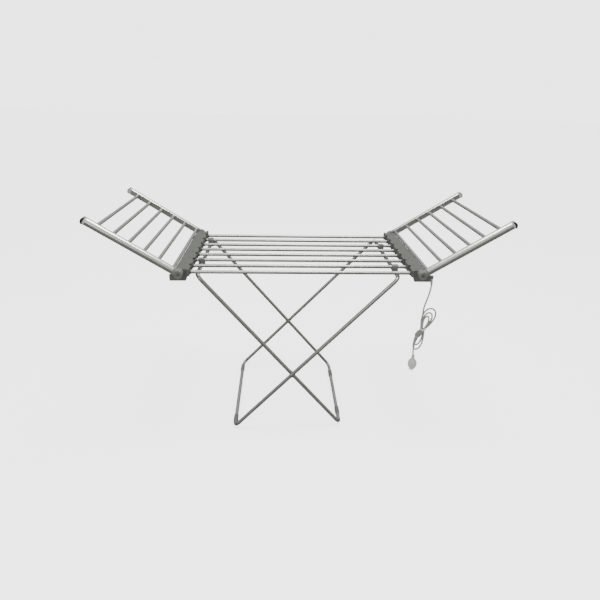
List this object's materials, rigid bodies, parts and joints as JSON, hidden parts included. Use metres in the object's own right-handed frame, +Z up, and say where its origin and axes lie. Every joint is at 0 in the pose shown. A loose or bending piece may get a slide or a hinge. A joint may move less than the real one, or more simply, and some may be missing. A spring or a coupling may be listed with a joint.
{
  "type": "clothes airer",
  "caption": "Winged clothes drying rack: a deck of heated bars between end housings, two folding wings, crossed folding legs and a mains cord with a round plug.",
  "frame": {"origin": "floor under the middle of the deck", "axes": "+Z up, X along the deck bars and out along the wings, +Y to the back; the cord hangs at the front right"},
  "size_m": [1.383, 0.538, 0.8155],
  "materials": {
    "bar_aluminium": "anodised satin",
    "rail_aluminium": "polished satin",
    "grey_plastic": "fine moulded grain",
    "light_grey_plastic": "satin",
    "black_plastic": "semi gloss",
    "leg_tube_metal": "silver powder coat",
    "foot_rubber": "matte",
    "zinc_steel": "zinc plated",
    "wire_insulation": "silicone",
    "terminal_plastic": "plain",
    "cord_jacket": "satin vinyl",
    "tie_plastic": "satin",
    "plug_plastic": "satin moulded",
    "pin_brass": "bright"
  },
  "bodies": {
    "deck": {"cord_hank": "cord_jacket", "cord_strain_relief": "cord_jacket", "cord_tail": "cord_jacket", "cord_tie": "tie_plastic", "deck_bar_1": "bar_aluminium", "deck_bar_2": "bar_aluminium", "deck_bar_3": "bar_aluminium", "deck_bar_4": "bar_aluminium", "deck_bar_5": "bar_aluminium", "deck_bar_6": "bar_aluminium", "deck_bar_7": "bar_aluminium", "deck_bar_8": "bar_aluminium", "deck_heating_wires": "wire_insulation", "hinge_pins": "zinc_steel", "housing_screws": "zinc_steel", "left_back_pivot_clip": "grey_plastic", "left_front_pivot_clip": "grey_plastic", "left_housing_base": "grey_plastic", "left_housing_cover": "grey_plastic", "plug_body": "plug_plastic", "plug_pins": "pin_brass", "power_cord": "cord_jacket", "right_back_hook_clip": "grey_plastic", "right_front_hook_clip": "grey_plastic", "right_housing_base": "grey_plastic", "right_housing_cover": "grey_plastic", "terminal_strips": "terminal_plastic"},
    "left_wing": {"left_back_knuckle": "grey_plastic", "left_back_rail": "rail_aluminium", "left_front_knuckle": "grey_plastic", "left_front_rail": "rail_aluminium", "left_rail_end_caps": "black_plastic", "left_rail_end_plugs": "light_grey_plastic", "left_wing_bar_1": "bar_aluminium", "left_wing_bar_2": "bar_aluminium", "left_wing_bar_3": "bar_aluminium", "left_wing_bar_4": "bar_aluminium", "left_wing_bar_5": "bar_aluminium", "left_wing_bar_6": "bar_aluminium", "left_wing_heating_wires": "wire_insulation"},
    "right_wing": {"right_back_knuckle": "grey_plastic", "right_back_rail": "rail_aluminium", "right_front_knuckle": "grey_plastic", "right_front_rail": "rail_aluminium", "right_rail_end_caps": "black_plastic", "right_rail_end_plugs": "light_grey_plastic", "right_wing_bar_1": "bar_aluminium", "right_wing_bar_2": "bar_aluminium", "right_wing_bar_3": "bar_aluminium", "right_wing_bar_4": "bar_aluminium", "right_wing_bar_5": "bar_aluminium", "right_wing_bar_6": "bar_aluminium", "right_wing_heating_wires": "wire_insulation"},
    "inner_legs": {"leg_frame_inner": "leg_tube_metal", "crossing_rivets": "zinc_steel", "crossing_washers": "zinc_steel", "inner_foot_sleeves": "foot_rubber"},
    "outer_legs": {"leg_frame_outer": "leg_tube_metal", "outer_foot_sleeves": "foot_rubber"}
  },
  "joints": [
    {"name": "left_wing_hinge", "type": "hinge", "parent": "deck", "child": "left_wing", "pos_m": [-0.403, 0, 0.63], "axis": [0, 1, 0], "range_deg": [-32, 90]},
    {"name": "right_wing_hinge", "type": "hinge", "parent": "deck", "child": "right_wing", "pos_m": [0.403, 0, 0.63], "axis": [0, -1, 0], "range_deg": [-32, 90]},
    {"name": "inner_leg_pivot", "type": "hinge", "parent": "deck", "child": "inner_legs", "pos_m": [-0.351, 0, 0.6115], "axis": [0, 1, 0], "range_deg": [0, 100]},
    {"name": "leg_crossing", "type": "hinge", "parent": "inner_legs", "child": "outer_legs", "pos_m": [-0.02891, 0, 0.23142], "axis": [0, -1, 0], "range_deg": [0, 82]}
  ],
  "couplings": [
    {"joint": "leg_crossing", "follows": "inner_leg_pivot", "ratio": 0.82}
  ]
}
